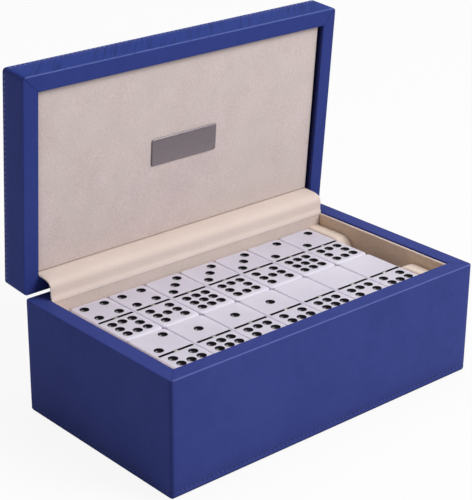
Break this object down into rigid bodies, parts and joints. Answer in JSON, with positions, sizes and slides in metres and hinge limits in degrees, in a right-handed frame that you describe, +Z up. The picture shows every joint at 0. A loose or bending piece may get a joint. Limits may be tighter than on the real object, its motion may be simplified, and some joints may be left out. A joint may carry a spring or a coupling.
{
  "type": "domino storage box",
  "caption": "Leather-covered storage box with a lid hinged at the back, suede linings and thumb notches, filled with flat-stacked dominoes.",
  "frame": {"origin": "middle of the base's underside, on the surface it stands on", "axes": "+X to the right along the front, +Y from the front to the hinge, +Z up; the lid stands open at rest"},
  "size_m": [0.2208, 0.1444, 0.1947],
  "materials": {
    "case_wood": "plain sanded wood, hidden under leather and linings",
    "blue_leather": "smooth royal blue leather with fine creases at the edges",
    "suede": "cream suede, soft nap",
    "felt": "dark blue felt",
    "domino": "pale ivory resin, softly polished, with black enamelled pips",
    "spinner_brass": "small polished pins",
    "hinge_brass": "satin brass",
    "hinge_steel": "plain steel",
    "plate_steel": "brushed, with a thin bevelled edge, blank"
  },
  "bodies": {
    "base": {"base_front_wall": "case_wood", "base_back_wall": "case_wood", "base_left_wall": "case_wood", "base_right_wall": "case_wood", "base_bottom": "case_wood", "base_leather": "blue_leather", "base_felt": "felt", "front_lining": "suede", "back_lining": "suede", "left_lining": "suede", "right_lining": "suede", "floor_lining": "suede", "left_end_block": "suede", "right_end_block": "suede", "left_hinge_base_leaf": "hinge_brass", "right_hinge_base_leaf": "hinge_brass", "hinge_pins": "hinge_steel", "base_hinge_screws": "hinge_steel", "hinge_strip": "suede", "stored_dominoes": "domino", "stored_spinners": "spinner_brass"},
    "lid": {"lid_front_rail": "case_wood", "lid_back_rail": "case_wood", "lid_left_rail": "case_wood", "lid_right_rail": "case_wood", "lid_top": "case_wood", "lid_leather": "blue_leather", "lid_pad": "suede", "blank_plate": "plate_steel", "left_hinge_lid_leaf": "hinge_brass", "right_hinge_lid_leaf": "hinge_brass", "lid_hinge_screws": "hinge_steel"},
    "domino_4_8": {"domino_4_8": "domino", "spinner_4_8": "spinner_brass"},
    "domino_4_7": {"domino_4_7": "domino", "spinner_4_7": "spinner_brass"},
    "domino_3_9": {"domino_3_9": "domino", "spinner_3_9": "spinner_brass"},
    "domino_3_8": {"domino_3_8": "domino", "spinner_3_8": "spinner_brass"},
    "domino_3_7": {"domino_3_7": "domino", "spinner_3_7": "spinner_brass"},
    "domino_2_9": {"domino_2_9": "domino", "spinner_2_9": "spinner_brass"},
    "domino_2_8": {"domino_2_8": "domino", "spinner_2_8": "spinner_brass"},
    "domino_2_7": {"domino_2_7": "domino", "spinner_2_7": "spinner_brass"},
    "domino_1_9": {"domino_1_9": "domino", "spinner_1_9": "spinner_brass"},
    "domino_1_8": {"domino_1_8": "domino", "spinner_1_8": "spinner_brass"},
    "domino_1_7": {"domino_1_7": "domino", "spinner_1_7": "spinner_brass"},
    "domino_0_9": {"domino_0_9": "domino", "spinner_0_9": "spinner_brass"},
    "domino_0_8": {"domino_0_8": "domino", "spinner_0_8": "spinner_brass"},
    "domino_0_7": {"domino_0_7": "domino", "spinner_0_7": "spinner_brass"}
  },
  "joints": [
    {"name": "lid_hinge", "type": "hinge", "parent": "base", "child": "lid", "pos_m": [0, 0.0629, 0.06861], "axis": [-1, 0, 0], "range_deg": [-85.9, 0], "deforming": ["hinge_strip"]},
    {"name": "lift_4_8", "type": "slide", "parent": "base", "child": "domino_4_8", "axis": [0, 0, 1], "range_m": [0, 0.0254]},
    {"name": "lift_4_7", "type": "slide", "parent": "base", "child": "domino_4_7", "axis": [0, 0, 1], "range_m": [0, 0.0254]},
    {"name": "lift_3_9", "type": "slide", "parent": "base", "child": "domino_3_9", "axis": [0, 0, 1], "range_m": [0, 0.0254]},
    {"name": "lift_3_8", "type": "slide", "parent": "base", "child": "domino_3_8", "axis": [0, 0, 1], "range_m": [0, 0.0254]},
    {"name": "lift_3_7", "type": "slide", "parent": "base", "child": "domino_3_7", "axis": [0, 0, 1], "range_m": [0, 0.0254]},
    {"name": "lift_2_9", "type": "slide", "parent": "base", "child": "domino_2_9", "axis": [0, 0, 1], "range_m": [0, 0.0254]},
    {"name": "lift_2_8", "type": "slide", "parent": "base", "child": "domino_2_8", "axis": [0, 0, 1], "range_m": [0, 0.0254]},
    {"name": "lift_2_7", "type": "slide", "parent": "base", "child": "domino_2_7", "axis": [0, 0, 1], "range_m": [0, 0.0254]},
    {"name": "lift_1_9", "type": "slide", "parent": "base", "child": "domino_1_9", "axis": [0, 0, 1], "range_m": [0, 0.0254]},
    {"name": "lift_1_8", "type": "slide", "parent": "base", "child": "domino_1_8", "axis": [0, 0, 1], "range_m": [0, 0.0254]},
    {"name": "lift_1_7", "type": "slide", "parent": "base", "child": "domino_1_7", "axis": [0, 0, 1], "range_m": [0, 0.0254]},
    {"name": "lift_0_9", "type": "slide", "parent": "base", "child": "domino_0_9", "axis": [0, 0, 1], "range_m": [0, 0.0254]},
    {"name": "lift_0_8", "type": "slide", "parent": "base", "child": "domino_0_8", "axis": [0, 0, 1], "range_m": [0, 0.0254]},
    {"name": "lift_0_7", "type": "slide", "parent": "base", "child": "domino_0_7", "axis": [0, 0, 1], "range_m": [0, 0.0254]}
  ]
}
